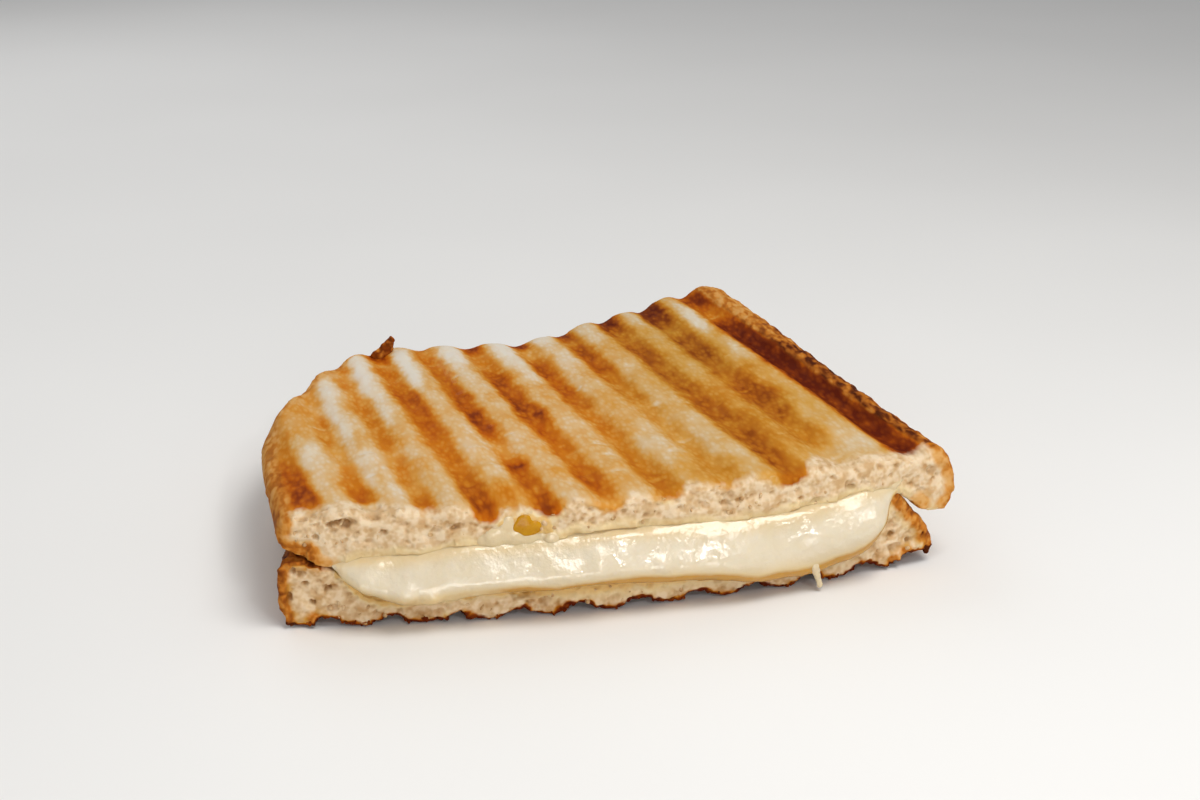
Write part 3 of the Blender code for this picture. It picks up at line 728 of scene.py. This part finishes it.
def makeBaseSlice(material):
    piece = castFromNode("bread_bottom", "toastedBaseSlice", baseSlice["voxel"], 6)
    points = readPoints(piece)
    onTop = ease(readNormals(piece)[:, 2], 0.0, 0.6)
    nearFront = 1.0 - ease(behindCut(points), 10.0, 22.0)
    points[:, 2] += baseSlice["rightRise"] * onTop * ease(points[:, 0], 93.0, 101.0) * nearFront
    writePoints(piece, points)
    centres, normals, behind = faceFacts(piece)
    splitFaces(piece, (normals[:, 2] < 0.35) | (behind < 3.0))
    centres, normals, behind = faceFacts(piece)
    splitFaces(piece, (behind < 2.2) & (normals[:, 1] < -0.3))
    easeFacets(2)
    # where each point lies
    points = readPoints(piece)
    normals = readNormals(piece)
    x = points[:, 0]
    behind = behindCut(points)
    upward, forward = normals[:, 2], -normals[:, 1]
    isCut = (forward > 0.6) & (behind < 2.6)
    isSide = (np.abs(upward) < 0.6) & ~isCut & (behind > 0.3) & ((x < 3.0) | (x > 104.0) | (behind > 9.5))
    isBase = upward < -0.6
    sideAway = nearestOf(points, isSide & (behind < 9.0), behind < 5.0)
    baseAway = nearestOf(points, isBase & (behind < 6.0), behind < 3.0)
    innerAway = nearestOf(points, (upward > 0.6) & (behind < 6.0), behind < 3.0)
    # crust, the jagged browned edge of the base, partly painted shade, and bare crumb between
    edge = 0.5 * uneven(points, 1.3, 6.0) + 0.35 * uneven(points, 3.5, 16.0)
    crust = ease(1.0 - np.abs(upward), 0.30, 0.62) * (behind > 1.6)
    rimWidth = 0.6 + 0.2 * ease(x, 92.0, 102.0)
    rimSoft = baseSlice["rimSoft"]
    crust = np.maximum(crust, 1.0 - ease(sideAway, rimWidth, rimWidth + rimSoft))
    # the base's top by its left end gets crust and more toast: partly its crust, partly painted shade under
    # the upper slice's tip
    leftTop = (1.0 - ease(x, 3.0, 6.0)) * ease(upward, -0.1, 0.7)
    crust = np.maximum(crust, leftTop)
    brownedAndShaded = 1.0 - ease(baseAway + edge, 0.25, 1.0)
    crumb = np.where(isBase | isSide, 0.0, 1.0) * (1.0 - brownedAndShaded)
    crumb *= ease(sideAway, rimWidth, rimWidth + rimSoft) * (1.0 - leftTop)
    toast = np.where(isBase, markedFace(points, baseMarks), baseSlice["sideTone"]) + 0.2 * leftTop
    toast -= 0.2 * ease(sideAway, 0.3, 2.4) * (1.0 - ease(sideAway, 3.2, 4.5)) * (behind < 2.6)
    # the jagged edge under the cut: its toast, and painted shade under the cut
    toast = np.maximum(toast, baseSlice["edgeTone"] * brownedAndShaded * (behind < 3.0))
    # relief
    groupPoints(piece, "bared", crumb * (forward > 0.3))
    groupPoints(piece, "rind", crust)
    groupPoints(piece, "edge", brownedAndShaded * (behind < 3.0) * (points[:, 2] > 0.5))
    groupPoints(piece, "skin", isBase * 1.0)
    for relief in baseSlice["relief"]:
        roughen(*relief)
    pitsAndShade = sinkCrumb(piece, points, normals, crumb * (forward > 0.3), baseSlice["holes"], 13.0)
    # painted shade over the base's crumb, darkest at its left end
    pitsAndShade += 0.4 - 0.25 * ease(x, 15.0, 45.0)
    moved = readPoints(piece)
    moved[:, 2] = np.maximum(moved[:, 2], 0.03)  # nothing sinks into what it lies on
    writePoints(piece, moved)
    # grease soaked into the base's top by the cheese; right under its edge the darker colour is partly
    # painted shade
    soaked = 1.6 + 2.4 * ease(x, 34.0, 50.0)
    grease = 0.8 * (1.0 - ease(innerAway + 0.8 * uneven(points, 2.0, 9.0), 0.3, soaked)) * (x > 6.0)
    breadValues(piece, toast=toast, crumb=crumb, crust=crust, pit=pitsAndShade, olive=0.8, grease=grease)
    rideOn(piece, material)
    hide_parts("bread_bottom")
    print("base slice", len(piece.data.polygons), "faces")
    return piece


cheeseFilling = {
    "voxel": 0.8,
    "setBack": 3.6,  # its top leans back this far, under the upper slice's edge
    "rise": 0.5,  # and rises this far, up to the crumb
    # its lower edge sags, or is drawn up: x, how far
    "sag": [(8, 0.0), (14, -0.9), (20, -1.4), (33, -1.5), (42, -0.8), (50, -0.3), (60, 0.3), (68, 0.1),
            (76, 0.5), (85, 1.9), (90, 2.5), (98, 2.7), (106, 1.4)],
    "tip": 3.2,  # its upper right corner is drawn out this far
    # its waves: length, depth and height, how far they move it
    "flow": [((10.0, 8.0, 4.5), 0.8), ((3.4, 3.0, 1.7), 0.15)],
    # lumps on it: x, z, reach, how far out
    "lumps": [(16.9, 7.4, 2.8, 0.7), (21.5, 6.0, 2.6, 0.8), (49.2, 10.4, 3.2, 0.8), (60.3, 9.3, 2.4, 0.5)],
    "lip": 3.2,  # its lower edge is thin and golden this far up, partly painted shade
}


def makeCheese(material):
    piece = castFromNode("cheese", "meltedFilling", cheeseFilling["voxel"], 5)
    points = readPoints(piece)
    behind = behindCut(points)
    highest, lowest = heightsAlong(points, behind < 0.2)
    part = np.clip((points[:, 2] - lowest) / np.maximum(highest - lowest, 1.0), 0.0, 1.0)  # up its height
    leaning = np.clip((3.5 - behind) / 8.0, 0.0, 1.0)
    points[:, 1] += cheeseFilling["setBack"] * ease(part, 0.38, 1.05) * leaning
    nearFront = 1.0 - ease(behind, 0.0, 5.0)
    points[:, 2] += cheeseFilling["rise"] * ease(part, 0.5, 1.0) * nearFront
    drawn = cheeseFilling["tip"] * ease(points[:, 0], 93.0, 103.0) * ease(part, 0.55, 1.0) * nearFront
    points[:, 0] += drawn
    points[:, 2] += 0.3 * drawn
    hang = np.interp(points[:, 0], *zip(*cheeseFilling["sag"]))
    points[:, 2] -= hang * (1.0 - ease(part, 0.0, 0.75)) * (1.0 - ease(behind, -2.0, 1.0))
    writePoints(piece, points)
    groupPoints(piece, "bulge", 1.0 - ease(behind, -0.5, 1.5))
    finishWith("SMOOTH", factor=0.5, iterations=12, vertex_group="bulge")
    splitFaces(piece, faceFacts(piece)[2] < 1.5)
    finishWith("SMOOTH", factor=0.5, iterations=3)
    points = readPoints(piece)
    normals = readNormals(piece)
    front = 1.0 - ease(behindCut(points), -0.5, 1.5)
    for number, (sizes, amount) in enumerate(cheeseFilling["flow"]):
        points += normals * (amount * uneven(points, sizes, 50.0 + number) * front)[:, None]
    for x, z, reach, out in cheeseFilling["lumps"]:
        away = np.hypot(points[:, 0] - x, points[:, 2] - z) / reach
        points[:, 1] -= out * (1.0 - ease(away, 0.0, 1.0)) * front
    writePoints(piece, points)
    highest, lowest = heightsAlong(points, front > 0.5)
    up = points[:, 2] - lowest
    part = up / np.maximum(highest - lowest, 1.0)
    # the golden lip along its lower edge: thin cheese, and partly painted shade
    thin = (1.0 - ease(up, 0.4 * cheeseFilling["lip"], cheeseFilling["lip"])) * front
    thin *= 0.5 + 0.5 * ease(points[:, 0], 26.0, 38.0)
    # golden towards the lower edge, painted shade as the light falls from above, and golden at the top
    edges = np.maximum(0.8 * (1.0 - ease(part, 0.05, 0.5)), 0.5 * ease(part, 0.75, 1.0))
    cheeseValues(piece, thin, edges)
    rideOn(piece, material)
    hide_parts("cheese")
    print("cheese", len(piece.data.polygons), "faces")
    return piece


# Small things on the cut and the edges

smallPieces = {
    # blobs melted together: x and z on the cut, radius
    "spilledCheese": [(30.8, 14.5, 1.2), (32.4, 14.9, 1.7), (34.0, 15.5, 1.9), (34.6, 16.8, 1.4),
                      (34.8, 17.8, 0.9), (35.9, 14.9, 1.7), (38.0, 14.6, 1.6), (40.0, 14.4, 1.5),
                      (42.0, 14.2, 1.2), (102.4, 15.4, 1.0), (103.4, 15.9, 0.8), (104.3, 16.4, 0.6),
                      (105.0, 16.9, 0.4)],
    "oilPool": [(37.9, 16.3, 1.4), (36.6, 16.6, 1.2), (39.2, 16.5, 1.1), (37.4, 17.2, 1.5),
                (38.3, 15.7, 1.1)],
    "cheeseDrip": [(87.6, 5.0, 1.0), (88.0, 4.0, 0.8), (88.3, 3.0, 0.65), (88.6, 2.1, 0.55),
                   (88.8, 1.3, 0.6)],
    # the blobs' depth against their radius
    "cheeseFlatness": 0.5,
    "oilFlatness": 0.35,
    # blobs of the torn scrap on the back edge: x, y, height over the face, radius
    "crustScrap": [(21.6, 87.6, -0.6, 1.9), (22.6, 88.0, 0.0, 1.8), (23.4, 88.4, 0.8, 1.4),
                   (24.1, 88.8, 1.6, 1.0), (24.6, 89.1, 2.2, 0.7)],
    # loose bits: name, how many, least and most radius, how toasted, 1 for crumb and 0 for burnt
    "bits": [("tornCrumbs", 80, (0.18, 0.45), 0.1, 1.0), ("burntBits", 50, (0.20, 0.42), 0.95, 0.0)],
    "seed": 5,
}


def placeOn(piece, start, direction):  # where a line from start meets the piece
    origin = Vector([(part + shift) * mm for part, shift in zip(start, (*cutEnd, 0.0))])
    hit, place, normal, face = piece.ray_cast(origin, Vector(direction))
    return (place / mm - Vector((*cutEnd, 0.0))) if hit else None


def addLump(x, y, z, radii, turn=0.0, detail=3):
    bpy.ops.mesh.primitive_ico_sphere_add(
        subdivisions=detail, radius=mm, location=((x + cutEnd[0]) * mm, (y + cutEnd[1]) * mm, z * mm),
        rotation=(0.0, turn, 0.0), scale=radii)
    return bpy.context.object


def joinLumps(lumps, name):
    bpy.ops.object.select_all(action="DESELECT")
    for lump in lumps:
        lump.select_set(True)
    bpy.context.view_layer.objects.active = lumps[0]
    bpy.ops.object.join()
    bpy.ops.object.transform_apply(location=True, rotation=True, scale=True)
    piece = bpy.context.object
    piece.name = name
    return piece


def meltTogether(lumps, name, voxel, easing):
    piece = joinLumps(lumps, name)
    finishWith("REMESH", mode="VOXEL", voxel_size=voxel * mm)
    finishWith("SMOOTH", factor=0.5, iterations=easing)
    return piece


def makeSpills(topPiece, cheesePiece, cheeseMaterial, oilMaterial):
    for name, flatness, material in (("spilledCheese", smallPieces["cheeseFlatness"], cheeseMaterial),
                                     ("oilPool", smallPieces["oilFlatness"], oilMaterial)):
        lumps = []
        for x, z, radius in smallPieces[name]:
            spot = placeOn(topPiece, (x, -20.0, z), (0, 1, 0))
            if spot is not None:
                deep = radius * flatness
                lumps.append(addLump(x, spot.y + 0.5 * deep, z, (1.15 * radius, deep, 1.15 * radius)))
        piece = meltTogether(lumps, name, 0.22, 9)
        if name == "spilledCheese":
            cheeseValues(piece, thin=0.0, edges=0.5)
        rideOn(piece, material)
    x, z, radius = smallPieces["cheeseDrip"][0]
    lip = placeOn(cheesePiece, (x, -20.0, z), (0, 1, 0))
    lumps = []
    for x, z, radius in smallPieces["cheeseDrip"]:
        lumps.append(addLump(x, lip.y + 0.7, z, (radius, radius, radius * 1.2)))
    piece = meltTogether(lumps, "cheeseDrip", 0.2, 4)
    cheeseValues(piece, thin=0.25, edges=0.3)
    rideOn(piece, cheeseMaterial)
    print("spills on the cut")


def makeCrustScrap(topPiece, material):
    lumps = []
    for x, y, over, radius in smallPieces["crustScrap"]:
        spot = placeOn(topPiece, (x, 86.5, 40.0), (0, 0, -1))
        lumps.append(addLump(x, y, spot.z + over, (radius, radius * 0.6, radius * 1.2)))
    piece = meltTogether(lumps, "crustScrap", 0.22, 3)
    roughen("scrapGrain", 1.0, 0.5)
    breadValues(piece, toast=0.72, crust=0.7, olive=0.2)
    rideOn(piece, material)
    print("torn scrap on the back edge")


def makeCrumbs(slices, material):
    random = np.random.default_rng(smallPieces["seed"])
    for name, count, radii, toast, crumb in smallPieces["bits"]:
        lumps = []
        while len(lumps) < count:
            x, radius = random.uniform(0.0, 107.0), random.uniform(*radii)
            high = random.uniform(0.0, 1.0)
            onBase = crumb == 0.0 or random.uniform(0.0, 1.0) < 0.4
            z = (0.3 + 0.7 * high if crumb == 0.0 else 1.0 + 4.0 * high) if onBase else 15.0 + 3.5 * high
            spot = placeOn(slices[1 if onBase else 0], (x, -20.0, z), (0, 1, 0))
            shape = random.uniform(0.5, 1.5, 3) * radius
            if spot is not None and spot.y - cutLine(x) < 2.0:
                lumps.append(addLump(x, spot.y + 0.3 * radius, z, tuple(shape), random.uniform(0.0, 3.0), 2))
        piece = joinLumps(lumps, name)
        roughen(name + "Shape", 0.5, 0.35)
        breadValues(piece, toast=toast, crumb=crumb, olive=0.6, pit=0.8 * crumb)
        rideOn(piece, material)
    print("crumbs on the cut")


# Light, floor and camera

studio = {
    "camera": (-0.06288, -0.32100, 0.14328),
    "pitchDown": 19.12,
    "heading": 12.0,
    "lens": 54.0,
    "shiftDown": 0.05,
    "air": (0.97, 0.98, 1.0),
    "airStrength": 0.38,
    "lamps": [
        # name, place, aimed at, size, watts, colour
        ("softKey", (0.13, -0.17, 0.47), (0.0, 0.0, 0.01), 0.24, 1.55, (1.0, 0.985, 0.96)),
        ("glint", (0.11, -0.44, 0.34), (0.0, -0.05, 0.01), 0.04, 0.30, (1.0, 1.0, 1.0)),
        ("lowFill", (-0.02, -0.60, 0.04), (0.0, -0.05, 0.0), 0.30, 1.4, (1.0, 0.98, 0.95)),
        ("backFill", (-0.20, 0.45, 0.40), (0.0, 0.0, 0.01), 0.50, 0.8, (0.98, 0.99, 1.0)),
    ],
}


def makeStudio():
    bpy.ops.mesh.primitive_plane_add(size=1.0, location=(0, 0, 0))
    floor = bpy.context.object
    floor.name = "paleFloor"
    bpy.ops.object.mode_set(mode="EDIT")
    bpy.ops.mesh.select_all(action="SELECT")
    bpy.ops.transform.resize(value=(6.0, 6.0, 1.0))
    bpy.ops.object.mode_set(mode="OBJECT")
    floor.data.materials.append(paleFloor("paleTable"))
    for name, place, aim, size, watts, colour in studio["lamps"]:
        bpy.ops.object.light_add(type="AREA", location=place)
        lamp = bpy.context.object
        lamp.name = name
        lamp.rotation_euler = (Vector(aim) - Vector(place)).to_track_quat("-Z", "Y").to_euler()
        lamp.data.size = size
        lamp.data.energy = watts
        lamp.data.color = colour
    world = bpy.data.worlds.new("softAir")
    world.use_nodes = True
    air = world.node_tree.nodes["Background"]
    air.inputs["Color"].default_value = (*studio["air"], 1.0)
    air.inputs["Strength"].default_value = studio["airStrength"]
    bpy.context.scene.world = world
    bpy.ops.object.camera_add(location=studio["camera"], rotation=(
        math.radians(90.0 - studio["pitchDown"]), 0.0, -math.radians(studio["heading"])))
    camera = bpy.context.object
    camera.data.lens = studio["lens"]
    camera.data.sensor_width = 36.0
    camera.data.shift_y = -studio["shiftDown"]
    camera.data.clip_start = 0.01
    bpy.context.scene.camera = camera
    bpy.context.scene.view_settings.view_transform = "Standard"
    print("studio ready")


breadMaterial = toastedBread("toastedBread")
cheeseMaterial = meltedCheese("meltedCheese", 1.3)
slices = [makeTopSlice(breadMaterial), makeBaseSlice(breadMaterial)]
filling = makeCheese(cheeseMaterial)
makeSpills(slices[0], filling, meltedCheese("thinCheese", 0.4), goldenOil("goldenOil"))
makeCrustScrap(slices[0], breadMaterial)
makeCrumbs(slices, breadMaterial)
makeStudio()
